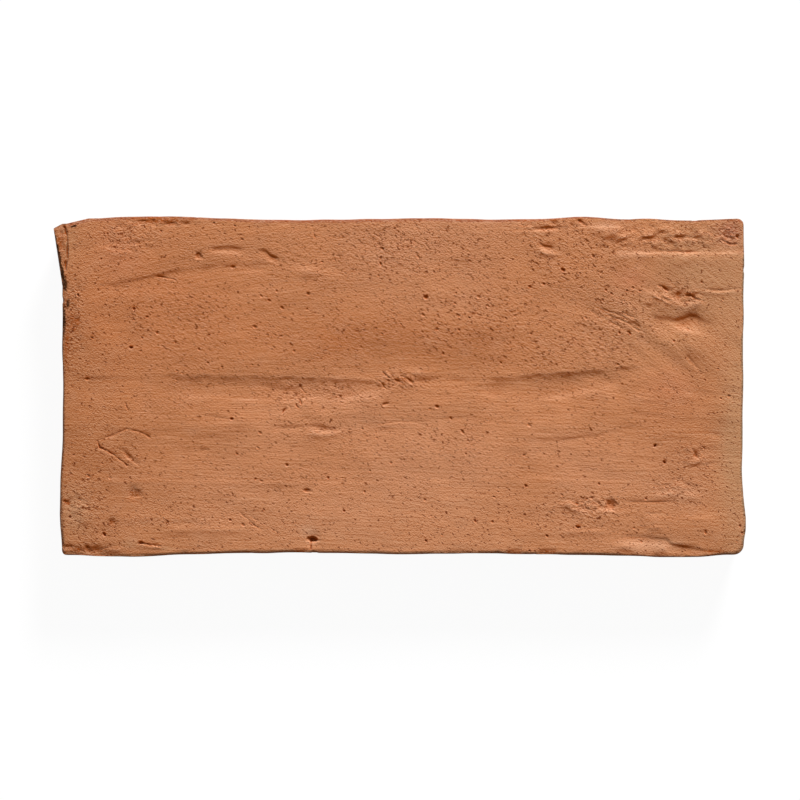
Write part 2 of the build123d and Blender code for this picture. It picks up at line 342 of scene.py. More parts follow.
# Small pits of one kind: their places
SMALL_PITS = (
    (147, 317), (134, 320), (141, 351), (142, 338), (157, 333), (175, 342), (199, 349.5), (209, 335),
    (225, 344), (208, 363), (222, 367), (177, 371), (182, 373), (162, 383), (87, 379), (92, 338),
    (101, 259), (233, 267), (161, 231), (173, 283), (242, 239.5), (214, 223), (235, 226), (322, 262),
    (317, 272), (380.5, 264), (380.5, 258), (276.5, 291), (261, 296), (269, 300.5), (308, 294),
    (282, 308), (307, 309), (255, 327), (281, 336), (252, 365), (294, 351), (382, 334), (394, 315),
    (456, 293), (479, 297), (488, 306), (515, 316), (469.5, 318), (459, 316), (437, 329.5), (452, 334),
    (459, 330), (505, 318), (531, 334), (544, 324), (538, 348), (530, 287), (544, 284), (549, 284),
    (594, 351), (572, 294), (501, 363), (443, 354), (612, 294), (617, 288), (627, 291), (630, 334),
    (619.5, 333), (618, 364.5), (674, 341), (688, 329), (723, 299.5), (720, 308), (718, 369),
    (237, 454), (260, 433), (258, 448), (255.5, 479), (261, 481), (230, 520), (243, 525), (264, 510),
    (328, 478), (342, 478), (391, 463), (377, 438), (370, 471), (344, 511), (364.5, 492), (430, 409),
    (466, 454), (529, 425), (524, 455), (529, 469), (498, 492), (494, 497), (526, 486), (425, 500),
    (431, 516), (492.5, 522), (475, 521), (577, 504), (587, 499), (577, 527), (547, 536), (561, 536),
    (529.5, 551), (442, 535), (426, 541), (562, 495), (646, 499), (634, 528), (599, 484), (721, 398.5),
    (729, 396), (704, 448), (740, 526), (742, 533), (737, 541.5), (705.5, 532.5), (110, 478),
    (88.5, 476), (71, 474), (102, 463.5), (80, 500), (87, 505), (70, 517), (74, 226), (376, 432.5),
    (362.5, 429), (418, 257), (434, 272), (378.5, 275.5), (401, 324.5), (376, 328.5), (423, 315),
    (595, 267), (580, 273), (606, 290), (611, 293), (603, 300), (586, 318), (624, 301), (633, 288),
    (640, 291),
)

# Ground full of pits: place, half sizes in pixels, and how full it is
PITTED = (
    (612, 318, 52, 46, 0.78),
    (395, 250, 120, 36, 0.75),
    (480, 318, 90, 44, 0.7),
    (560, 345, 100, 30, 0.66),
    (570, 262, 80, 40, 0.66),
    (370, 330, 60, 40, 0.45),
    (190, 325, 110, 50, 0.5),
    (130, 238, 34, 20, 0.75),
    (650, 238, 60, 18, 0.55),
    (585, 512, 60, 24, 0.8),
    (470, 520, 70, 24, 0.36),
    (450, 440, 40, 26, 0.45),
    (175, 519, 60, 8, 0.4),
    (85, 500, 30, 56, 0.75),
    (72, 320, 16, 60, 0.9),
    (395, 382, 26, 14, 0.9),
    (310, 392, 60, 12, 0.6),
    (728, 232, 16, 15, 0.9),
    (690, 300, 40, 24, 0.55),
    (340, 430, 50, 10, 0.5),
    (690, 485, 40, 24, 0.5),
)

# Torn clay, in flaps with steep edges: place, half sizes in pixels, height, and size of the flaps in pixels
TORN = (
    (645, 239, 38, 15, 0.17, 1.7),
    (690, 237, 40, 8, 0.13, 2.0),
    (550, 224, 44, 4, 0.26, 2.6),
    (664, 296, 20, 12, 0.21, 3.0),
    (692, 298, 14, 7, 0.24, 2.6),
    (162, 222, 36, 4, 0.26, 2.2),
    (90, 549, 30, 4, 0.34, 2.6),
    (585, 505.5, 30, 6, 0.2, 2.0),
    (395, 380, 18, 9, 0.22, 2.0),
    (320, 390, 50, 9, 0.08, 2.0),
    (728, 232, 13, 12, 0.3, 2.2),
    (700, 454, 20, 14, 0.16, 3.0),
    (676, 489, 22, 8, 0.16, 2.4),
    (152, 545, 12, 4, 0.24, 2.0),
    (84, 503, 16, 14, 0.14, 2.2),
    (134, 493, 7, 6, 0.24, 1.5),
    (330, 428, 26, 5, 0.14, 2.0),
)

# Rough ground: place, half sizes in pixels, height of the grains, and their size in pixels
ROUGH = (
    (60, 243, 6, 17, 0.15, 1.6),
    (130, 238, 26, 16, 0.11, 1.5),
    (160, 222, 40, 4, 0.14, 1.6),
    (655, 238, 62, 14, 0.12, 1.7),
    (730, 232, 13, 12, 0.16, 1.4),
    (555, 225, 42, 5, 0.11, 1.6),
    (395, 379, 18, 9, 0.12, 1.3),
    (612, 320, 46, 42, 0.05, 1.3),
    (592, 504, 24, 8, 0.12, 1.4),
    (165, 521, 46, 4, 0.05, 1.4),
    (676, 488, 18, 9, 0.1, 1.6),
    (90, 549, 28, 4, 0.14, 1.6),
    (74, 305, 10, 34, 0.1, 1.5),
    (76, 508, 14, 20, 0.09, 1.5),
    (674, 296, 26, 14, 0.1, 1.6),
    (320, 392, 54, 12, 0.05, 1.4),
    (395, 250, 110, 30, 0.03, 1.4),
)

# The hand's marks: their share of the depths in the rows, how far the face sinks so that its ridges stay in
# the frame's box, and the share of a mark's run, or the pixels, that each end fades over
STRUCK_SHARE = 0.76
SINK = 0.4
END_SHARE = 0.3
END_PX = 28.0

# How many of its widths a mark is drawn to: a bell, a line and a patch with steep sides
BELL_REACH = 3
LINE_REACH = 4
PATCH_REACH = 1.6

# How uneven the marks are: pixels that their edges wander and fray, and the share that their depths vary by
STROKE_UNEVEN = (0.6, 0.25, 0.25)
SCARP_UNEVEN = (0.5, 0.2, 0.15)
SWEEP_WANDER_PX = 0.9
LINE_FRAY_PX = 0.4
SCRATCH_VARY_SHARE = 0.35
STEADY_PX = 2.5  # a stroke narrower than this wanders less
SCARP_ROUND_PX = 0.6  # of its upper edge

# Every pit: how uneven its outline and floor are, and its rim's height, place and width as shares of its own
OUTLINE_SHARE = 0.16
FLOOR_SHARE = 0.2
RIM_SHARES = (0.1, 1.5, 0.35)

# Small pits and loose ones: width, depth, range of what both are multiplied by, range of stretch, and turn
SMALL_PIT_WIDTH_PX = 1.8
SMALL_PIT_DEPTH = 0.34
SMALL_PIT_SIZES = (0.8, 1.35)
SMALL_PIT_STRETCH = (1, 1.9)
LOOSE_PITS = 460  # tries, of which those on ground full of pits count
LOOSE_WIDTH_PX = 1.5
LOOSE_DEPTH = 0.28
LOOSE_SIZES = (-0.1, 0.3)  # mean and spread of the size's logarithm
LOOSE_STRETCH = (1, 2.2)
PIT_TURN = 30.0
TURN_SPREAD = 20
BARE_SHARE = 0.08  # how full of pits the rest of the face is

# The course of the fine strokes: about the sweeps' centre at the far right, bowed at the far left and leaning
# on the near side, with the rows where the first two end and the pixels that each fades over
SWIRL_END_PX = 430
SWIRL_FADE_PX = (40, 70)
BOW_APEX_PX = 330.0
BOW_RADIUS_PX = 820.0
BOW_END_PX = 375
BOW_FADE_PX = 60
LEAN = 0.04
LEAN_ROWS_PX = (400, 440)

# Unevenness of the whole face, as lines along the strokes and as lumps: grain in pixels, height, and seed
HAND_LINES = ((9, 2.4, 0.024, 12), (30, 6.0, 0.035, 13))
LUMPS = ((5.0, 0.035, 16), (12.0, 0.07, 17))

# Steep clay: the slopes, rise over run, where it begins and is all steep, their blurs, and its lumps' height
SLOPE_BLUR_PX = 1.2
STEEP_SLOPES = (0.16, 0.5)
STEEP_BLUR_PX = 1.5
STEEP_LUMP = 0.09

# The sides and the bed: marks of the mould's walls, chips, what the arris adds to these, dents, the levels of
# noise where chips and dents begin and are full, and how far below the top the arris begins and ends
WALL_MARK = 0.1
CHIP = 0.25
ARRIS_CHIP = 0.45
BED_DENT = 0.5
CHIP_LEVELS = (1.3, 2.4)
DENT_LEVELS = (0.9, 2.2)
ARRIS_BELOW = (4 * MM, MM)

# How far a normal points up or down where the face's or the bed's relief begins and is full, and either way
# where that of the sides begins to fade and is gone
FACING_UP = (0.25, 0.8)
FACING_DOWN = (0.8, 0.98)
FACING_EITHER = (0.55, 0.95)

# The burr at the far left corner: where it ends and the pixels that it fades over there, and how far below
# the frame's top its clay lies and is to lie
BURR_END_PX = (68.0, 286.0)
BURR_FADE_PX = (2, 22)
BURR_BELOW = (0, 1.2 * MM, 4 * MM, FACE_Z)
BURR_DRAWN = (0, 0.25 * MM, 4 * MM, FACE_Z)


def stroke(relief, course, depth, far, near, end_px=END_PX):
    across_px, down_px = zip(*course)
    run = across_px[-1] - across_px[0]
    part = fine.patch(course, BELL_REACH * max(far, near))
    x = fine.x[part]
    end = min(END_SHARE * run, end_px)
    fade = smooth_step(x - across_px[0], 0, end) * smooth_step(across_px[-1] - x, 0, end)
    deepest = np.interp(x, across_px, down_px) + far / 2**0.5
    wander_px, fray_px, vary = STROKE_UNEVEN
    loose = min(1, far / STEADY_PX)
    up = deepest - fine.y[part] + loose * (wander_px * wander[part] + fray_px * ragged[part])
    side = np.where(up > 0, far, near)
    relief[part] -= depth * fade * (1 + vary * wander[part]) * np.exp(-((up / side) ** 2))


def scarp(relief, edge, depth, steep_px, back_px):
    across_px, down_px = zip(*edge)
    part = fine.patch(edge, BELL_REACH * back_px)
    x = fine.x[part]
    fade = smooth_step(x - across_px[0], 0, END_PX) * smooth_step(across_px[-1] - x, 0, END_PX)
    wander_px, fray_px, vary = SCARP_UNEVEN
    below = fine.y[part] - np.interp(x, across_px, down_px)
    below = below + wander_px * wander[part] + fray_px * ragged[part]
    below = (below + np.hypot(below, SCARP_ROUND_PX)) / 2
    shape = (1 - np.exp(-below / steep_px)) * np.exp(-((below / back_px) ** 2))
    relief[part] -= depth * fade * (1 + vary * wander[part]) * shape


def sweep(relief, radius, start, end, depth, outer, inner):
    x = fine.x - SWEEP_CENTRE_PX[0]
    y = SWEEP_CENTRE_PX[1] - fine.y
    place = (np.degrees(np.arctan2(x, y)) - start) / (end - start)
    fade = smooth_step(place, 0, END_SHARE) * smooth_step(1 - place, 0, END_SHARE)
    out = np.hypot(x, y) - radius + SWEEP_WANDER_PX * wander
    side = np.where(out > 0, outer, inner)
    relief -= depth * fade * np.exp(-((out / side) ** 2))


def away_from(course, part):
    """Distances in pixels from a course of straight runs, a little uneven."""
    x = fine.x[part] + LINE_FRAY_PX * ragged[part]
    y = fine.y[part] + LINE_FRAY_PX * wander[part]
    nearest = np.full(x.shape, np.inf)
    for (start_x, start_y), (end_x, end_y) in zip(course, course[1:]):
        run_x = end_x - start_x
        run_y = end_y - start_y
        place = ((x - start_x) * run_x + (y - start_y) * run_y) / (run_x**2 + run_y**2)
        place = np.clip(place, 0, 1)
        away = np.hypot(x - start_x - place * run_x, y - start_y - place * run_y)
        nearest = np.minimum(nearest, away)
    return nearest


def scratch(relief, course, depth, width):
    part = fine.patch(course, LINE_REACH * width)
    uneven = np.clip(1 + SCRATCH_VARY_SHARE * ragged[part], 0.2, 2)
    relief[part] -= depth * uneven * np.exp(-((away_from(course, part) / width) ** 2))


def turned(part, px, py, turn):
    """Distances from a place, along and across a direction turned clockwise in the photograph."""
    x = fine.x[part] - px
    y = fine.y[part] - py
    along = x * cos(radians(turn)) + y * sin(radians(turn))
    across = y * cos(radians(turn)) - x * sin(radians(turn))
    return along, across


def swell(relief, px, py, half_along, half_across, height, turn):
    part = fine.patch([(px, py)], BELL_REACH * max(half_along, half_across))
    along, across = turned(part, px, py, turn)
    relief[part] += height * np.exp(-((along / half_along) ** 2) - (across / half_across) ** 2)


def pit(relief, px, py, width, depth, stretch, turn):
    """A steep little hollow with a ragged outline, a lumpy floor and a low rim."""
    part = fine.patch([(px, py)], PATCH_REACH * width * stretch + 2)
    along, across = turned(part, px, py, turn)
    away = np.hypot(along / stretch, across) / (width / 2)
    away = away * (1 + OUTLINE_SHARE * ragged[part])
    inside = np.exp(-(away**4))
    relief[part] -= depth * inside * (1 + FLOOR_SHARE * ragged[part])
    rim_height, rim_place, rim_width = RIM_SHARES
    relief[part] += rim_height * depth * np.exp(-(((away - rim_place) / rim_width) ** 2))


def zone(part, px, py, half_along, half_across):
    """A patch with steep sides, 1 inside and 0 outside."""
    return np.exp(-(((fine.x[part] - px) / half_along) ** 4) - ((fine.y[part] - py) / half_across) ** 4)


def ground(relief, px, py, half_along, half_across, height, grain):
    part = fine.patch([(px, py)], PATCH_REACH * max(half_along, half_across))
    grains = fine.noise(int(px + py), grain)[part]
    relief[part] += height * zone(part, px, py, half_along, half_across) * grains


def torn(relief, px, py, half_along, half_across, height, flap):
    """Flaps drawn out along the tile, with two steep steps and with bites taken out of them."""
    part = fine.patch([(px, py)], PATCH_REACH * max(half_along, half_across))
    seed = int(px * 3 + py)
    bites = smooth_step(fine.noise(seed + 1, 3 * flap)[part], -0.9, 0.3)
    flaps = fine.noise(seed, 1.7 * flap, flap)[part] + 0.15 * ragged[part]
    low_step = smooth_step(flaps, -0.12, 0.12)
    high_step = smooth_step(flaps, 0.8, 1.0)
    steps = low_step + high_step - 0.65
    relief[part] += height * zone(part, px, py, half_along, half_across) * bites * steps


def covered(places, least=0.0):
    """How far each point is covered by soft spots, 0 to 1: place, half sizes in pixels, and share of each."""
    share = np.full(fine.x.shape, least)
    for px, py, half_along, half_across, most in places:
        spot = np.exp(-(((fine.x - px) / half_along) ** 2) - ((fine.y - py) / half_across) ** 2)
        share = np.maximum(share, most * spot)
    return share


def course_of_strokes():
    """For each place, the row whose strokes pass through it: level on most of the face, bowed at its ends."""
    x = fine.x
    y = fine.y
    swirl_x, swirl_y = SWEEP_CENTRE_PX
    swirl = swirl_y - np.hypot(np.maximum(x - swirl_x, 0), y - swirl_y)
    fade_x, fade_y = SWIRL_FADE_PX
    swirl_share = smooth_step(x, swirl_x, swirl_x + fade_x) * smooth_step(SWIRL_END_PX - y, 0, fade_y)
    bow = np.where(x < BOW_APEX_PX, (x - BOW_APEX_PX) ** 2, 0) / (2 * BOW_RADIUS_PX)
    bow_share = smooth_step(BOW_END_PX - y, 0, BOW_FADE_PX)
    level = y - LEAN * (x - CENTRE_PX[0]) * smooth_step(y, *LEAN_ROWS_PX)
    return level * (1 - swirl_share) + swirl * swirl_share - bow * bow_share


def small_and_loose_pits(relief):
    chance = np.random.default_rng(SEED)
    for px, py in SMALL_PITS:
        size = chance.uniform(*SMALL_PIT_SIZES)
        stretch = chance.uniform(*SMALL_PIT_STRETCH)
        turn = chance.normal(PIT_TURN, TURN_SPREAD)
        pit(relief, px, py, size * SMALL_PIT_WIDTH_PX, size * SMALL_PIT_DEPTH, stretch, turn)
    full = covered(PITTED, BARE_SHARE)
    for attempt in range(LOOSE_PITS):
        px, py = chance.uniform(RASTER_LOW_PX, np.add(RASTER_LOW_PX, RASTER_SIZE_PX))
        size = chance.lognormal(*LOOSE_SIZES)
        stretch = chance.uniform(*LOOSE_STRETCH)
        turn = chance.normal(PIT_TURN, TURN_SPREAD)
        if chance.random() < fine.sample(full, np.array([px]), np.array([py]))[0] ** 2:
            pit(relief, px, py, size * LOOSE_WIDTH_PX, size * LOOSE_DEPTH, stretch, turn)


def struck_relief():
    """Millimetres above the frame's own face, below zero where cut, and how steep it is, 0 to 1."""
    relief = np.zeros(fine.x.shape)
    course = course_of_strokes()
    for along, across, height, seed in HAND_LINES:
        relief += height * fine.sample(fine.noise(seed, along, across), fine.x, course)
    for grain, height, seed in LUMPS:
        relief += height * fine.noise(seed, grain)
    for row in FILLS:
        stroke(relief, *row, end_px=IMAGE_PX)
    marks = np.zeros(fine.x.shape)
    kinds = (
        (scarp, SCARPS), (stroke, STROKES), (sweep, SWEEPS), (swell, SWELLS), (torn, TORN), (ground, ROUGH),
    )
    for mark, rows in kinds:
        for row in rows:
            mark(marks, *row)
    relief += STRUCK_SHARE * marks
    down, right = np.gradient(fine.blur(relief, SLOPE_BLUR_PX), FINE_PX * PX / MM)
    steep = fine.blur(smooth_step(np.hypot(down, right), *STEEP_SLOPES), STEEP_BLUR_PX)
    relief += STEEP_LUMP * steep * fine.noise(18, 1.5, 1.1)
    for row in SCRATCHES:
        scratch(relief, *row)
    for row in PITS:
        pit(relief, *row)
    small_and_loose_pits(relief)
    return relief - SINK, steep


def to_px(places):
    """Places in metres, as pixels of the photograph."""
    return CENTRE_PX[0] + places[:, 0] / PX, CENTRE_PX[1] - places[:, 1] / PX


def frame_face(cad):
    """The frame's own face on the coarse raster, smoothed, and how far inside its edges it is, 0 to 1."""
    vertices = [vertex.co.copy() for vertex in cad.data.vertices]
    faces = [tuple(polygon.vertices) for polygon in cad.data.polygons]
    tree = BVHTree.FromPolygons(vertices, faces)
    down = Vector((0, 0, -1))
    height = np.zeros(coarse.x.shape)
    for index, px in np.ndenumerate(coarse.x):
        x = (px - CENTRE_PX[0]) * PX
        y = (CENTRE_PX[1] - coarse.y[index]) * PX
        hit = tree.ray_cast(Vector((x, y, FACE_Z + MM)), down)[0]
        height[index] = hit.z if hit else 0
    inside = ((height > FACE_Z - FACE_REACH) & (coarse.x > FACE_LEFT_PX)).astype(float)
    weight = coarse.blur(inside, FACE_BLUR_PX)
    face = coarse.blur(height * inside, FACE_BLUR_PX) / np.maximum(weight, LEAST_WEIGHT)
    return face, smooth_step(weight, *EDGE_WEIGHTS)


def side_relief(places):
    """Millimetres cut into the sides: marks of the mould's walls along them, and chips at the arris."""
    along = RASTER_LOW_PX[0] + np.mod((places[:, 0] + places[:, 1]) / PX, RASTER_SIZE_PX[0])
    up = RASTER_LOW_PX[1] + places[:, 2] / PX
    marks = WALL_MARK * fine.noise(41, 22, 2.4) + WALL_MARK * fine.noise(43, 9)
    chips = fine.sample(smooth_step(fine.noise(44, 3.4, 2.6), *CHIP_LEVELS), along, up)
    arris = smooth_step(places[:, 2], FACE_Z - ARRIS_BELOW[0], FACE_Z - ARRIS_BELOW[1])
    return fine.sample(marks, along, up) + chips * (CHIP + ARRIS_CHIP * arris)


def bed_relief(px, py):
    """Millimetres that the bed is dented upwards."""
    dents = smooth_step(fine.noise(51, 7), *DENT_LEVELS) * BED_DENT
    return fine.sample(dents, px, py)


def settled(piece):
    """Replaces the piece's mesh by what its modifiers make of it."""
    made = bpy.data.meshes.new_from_object(piece.evaluated_get(bpy.context.evaluated_depsgraph_get()))
    old = piece.data
    piece.modifiers.clear()
    piece.data = made
    bpy.data.meshes.remove(old)


def read(items, name):
    """The named vector of each of a mesh's vertices or faces."""
    values = np.empty(len(items) * 3)
    items.foreach_get(name, values)
    return values.reshape(-1, 3)


def move(piece, places):
    piece.data.vertices.foreach_set("co", places.ravel())
    piece.data.update()


def draw_up_burr(piece):
    """Draws the burr up to the face that it is torn from, so that a crease is all that parts them."""
    places = read(piece.data.vertices, "co")
    px, py = to_px(places)
    fade_x, fade_y = BURR_FADE_PX
    share = smooth_step(BURR_END_PX[0] - px, 0, fade_x) * smooth_step(BURR_END_PX[1] - py, 0, fade_y)
    below = FACE_Z - places[:, 2]
    places[:, 2] += share * (below - np.interp(below, BURR_BELOW, BURR_DRAWN))
    move(piece, places)


def cut_finer(piece, relief):
    """Cuts the faces of the struck side that lie on fine detail into smaller ones."""
    detail = fine.blur(np.abs(relief - fine.blur(relief, DETAIL_PX)), DETAIL_PX / 2)
    centres = read(piece.data.polygons, "center")
    up = read(piece.data.polygons, "normal")[:, 2] > FACING_UP[1]
    on_detail = fine.sample(detail, *to_px(centres)) > DETAIL
    mesh = bmesh.new()
    mesh.from_mesh(piece.data)
    mesh.faces.ensure_lookup_table()
    edges = {edge for index in np.flatnonzero(up & on_detail) for edge in mesh.faces[index].edges}
    bmesh.ops.subdivide_edges(mesh, edges=list(edges), cuts=CUTS, use_grid_fill=True)
    mesh.to_mesh(piece.data)
    mesh.free()


def clay_body(relief, face, inner):
    """The whole tile as one closed mesh: the frame's solid, evenly meshed, with the face's relief on it."""
    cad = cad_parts["tile"]
    piece = bpy.data.objects.new("terracotta_tile", cad.data.copy())
    bpy.context.scene.collection.objects.link(piece)
    even = piece.modifiers.new("even", "REMESH")
    even.mode = "VOXEL"
    even.voxel_size = VOXEL
    settled(piece)
    draw_up_burr(piece)
    cut_finer(piece, relief)

    places = read(piece.data.vertices, "co")
    normals = read(piece.data.vertices, "normal")
    px, py = to_px(places)
    upward = smooth_step(normals[:, 2], *FACING_UP)
    inner_share = coarse.sample(inner, px, py) * upward
    places[:, 2] += (coarse.sample(face, px, py) - places[:, 2]) * inner_share
    places[:, 2] += fine.sample(relief, px, py) * MM * upward
    aside = 1 - smooth_step(np.abs(normals[:, 2]), *FACING_EITHER)
    places -= normals * (aside * side_relief(places) * MM)[:, None]
    beneath = smooth_step(-normals[:, 2], *FACING_DOWN)
    places[:, 2] += beneath * bed_relief(px, py) * MM
    move(piece, places)

    piece.data.calc_loop_triangles()
    thin = piece.modifiers.new("thin", "DECIMATE")
    thin.ratio = TRIANGLES / len(piece.data.loop_triangles)
    settled(piece)
    move(piece, np.clip(read(piece.data.vertices, "co"), *cad_box))
    piece.data.shade_smooth()
    return piece


def linear(red, green, blue):
    """A colour as a screen shows it, 0 to 255, in the renderer's own scale."""
    shares = np.array((red, green, blue)) / 255
    return np.where(shares <= 0.04045, shares / 12.92, ((shares + 0.055) / 1.055) ** 2.4)


# Clays of the tile, as a screen shows them
PLAIN = linear(203, 132, 85)
ORANGE = linear(198, 123, 75)
ROSE = linear(215, 147, 104)
OLIVE = linear(197, 144, 102)
BROWN = linear(172, 105, 60)
RED = linear(213, 132, 91)
PALE = linear(226, 172, 136)
PURPLE = linear(176, 112, 88)
EARTH = linear(186, 112, 65)
# rust, also the colour of painted shade
RUST_AND_SHADE = linear(164, 78, 22)
# painted shade in the pores
PORE_SHADE = linear(112, 46, 12)
# blackening, also the colour of painted shade along the arris
BLACK_BROWN = linear(44, 22, 6)

# Where each clay shows: clay, place, half sizes in pixels, and share
CLAYS = (
    (ORANGE, 110, 300, 110, 90, 0.9),
    (ORANGE, 200, 330, 130, 60, 0.5),
    (BROWN, 70, 330, 16, 120, 0.6),
    (BROWN, 70, 480, 22, 90, 0.6),
    (ROSE, 400, 258, 110, 48, 0.5),
    (ROSE, 340, 425, 80, 46, 0.6),
    (BROWN, 700, 430, 64, 46, 0.45),
    (ROSE, 440, 494, 250, 76, 1.0),
    (EARTH, 345, 338, 56, 20, 0.78),
    (EARTH, 437, 343, 75, 24, 0.62),
    (EARTH, 120, 460, 30, 9, 0.5),
    (BROWN, 134, 493.5, 7, 6, 0.9),
    (BROWN, 112, 522, 5, 5, 0.9),
    (BROWN, 88, 549, 30, 6, 0.7),
    (BROWN, 713, 551, 16, 4, 0.8),
    (BROWN, 60, 243, 6, 16, 0.7),
    (BROWN, 110, 430, 80, 46, 0.28),
    (BROWN, 96, 474, 46, 36, 0.35),
    (ROSE, 470, 228, 90, 14, 0.45),
    (ROSE, 456, 302, 34, 22, 0.5),
    (OLIVE, 738, 400, 18, 190, 0.9),
    (OLIVE, 735, 540, 12, 40, 0.6),
    (OLIVE, 700, 285, 60, 70, 0.8),
    (OLIVE, 615, 330, 50, 45, 0.25),
    (OLIVE, 74, 508, 14, 22, 0.8),
    (OLIVE, 131, 544, 8, 4, 0.6),
    (OLIVE, 166, 549, 7, 4, 0.6),
    (OLIVE, 73, 243, 6, 18, 0.7),
    (RED, 670, 396, 24, 22, 0.7),
    (RED, 632, 279, 16, 12, 0.6),
    (RED, 115, 245, 24, 26, 0.5),
    (PURPLE, 730, 232, 13, 13, 0.7),
    # pale clay; along the far edge at 484 and 60 across and on the ledge's lip at 652 across it is painted
    # highlight
    (PALE, 308, 531, 8, 5, 0.5),
    (PALE, 652, 546, 34, 6, 0.4),
    (PALE, 433, 450, 12, 30, 0.12),
    (PALE, 676, 494, 26, 10, 0.3),
    (PALE, 484, 220, 26, 3, 0.5),
    (PALE, 60, 226, 7, 3, 0.6),
    (PALE, 632, 254, 14, 4, 0.6),
    (PALE, 606, 226, 16, 4, 0.6),
)

# Deep red-brown ground: place, half sizes in pixels, and share
RUSTS = (
    (162, 221, 38, 3.5, 0.54),
    (88, 550, 28, 4.5, 0.5),
    (713, 551.5, 15, 3, 0.55),
    (60, 243, 5, 15, 0.54),
    (75, 322, 10, 12, 0.46),
    (67, 345, 4, 40, 0.5),
    (134, 493.5, 7, 6, 0.52),
    (611, 504, 5, 5, 0.52),
    (112, 522, 5, 4, 0.48),
    (67.4, 502.8, 4, 3, 0.7),
    (152, 545, 11, 3, 0.5),
    (300, 551, 10, 2.5, 0.6),
    (514, 552, 10, 2.5, 0.6),
    (548, 552, 12, 2.5, 0.6),
    (407, 380, 8, 5, 0.5),
    (696, 456, 5, 4, 0.45),
)

# Blackened ground, given in the same way
BLACKENED_SPOTS = (
    (65, 285, 3.6, 9, 0.8),
    (68, 303, 2.6, 6, 0.74),
    (64, 320, 2.5, 22, 0.65),
    (313, 540, 4, 2, 0.5),
)

# Blackened lines: course, width in pixels, and share. The lines down the burr's left side, along the far
# edge's right half and down the right edge are painted shade on the arris
BLACKENED_AND_SHADE_LINES = (
    (((53.5, 231), (56, 245), (60, 262), (63, 278)), 1.6, 0.95),
    (((72, 227), (76, 225)), 1.2, 0.8),
    (((606, 218.5), (640, 220.5), (690, 221.5), (738, 218.5)), 1.0, 0.42),
    (((744.5, 226), (743.6, 300), (744, 420), (745, 545)), 1.0, 0.5),
)

# Painted shade on the rounded arris of each side: the side's direction, how far the face leans that way where
# the shade begins and where it is all that shows, and the shade's colour
ARRIS_SHADES = (
    ((1, 0), 0.25, 0.6, linear(118, 104, 78)),
    ((-1, 0), 0.25, 0.6, linear(104, 68, 44)),
    ((0, -1), 0.25, 0.6, linear(124, 78, 48)),
    ((0, 1), 0.08, 0.4, linear(128, 74, 54)),
)
SIDE = linear(180, 120, 82)

# Hollows, wide troughs and crests: the blur in pixels that each is measured against, and the millimetres from
# it where each begins to show and shows fully
HOLLOW = (2.5, 0.06, 0.48)
TROUGH = (9, 0.1, 0.6)
CREST = (4, 0.05, 0.32)
TROUGH_SHARE = 0.5

# Slopes, rise over run, where painted shade and painted highlight begin to show and show fully
SHADED_SLOPES = (0.02, 0.27)
LIT_SLOPES = (0.03, 0.32)


def sunk(relief, blur_px, begin, full):
    return smooth_step(fine.blur(relief, blur_px) - relief, begin, full)


def clay_colours():
    """The clay's own colour over the face, before its grain."""
    colour = np.ones((*fine.x.shape, 3)) * PLAIN
    uneven = 1 + 0.25 * fine.noise(31, 18)
    for clay, *place in CLAYS:
        weight = covered([place]) * uneven
        colour += np.clip(weight, 0, 1)[..., None] * (clay - colour)
    return colour


# Blackened spots and lines, some of them painted shade along the arris
def blackened():
    blackened_and_shade = covered(BLACKENED_SPOTS)
    for course, width, share in BLACKENED_AND_SHADE_LINES:
        part = fine.patch(course, LINE_REACH * width)
        line = share * np.exp(-((away_from(course, part) / width) ** 2))
        blackened_and_shade[part] = np.maximum(blackened_and_shade[part], line)
    return blackened_and_shade


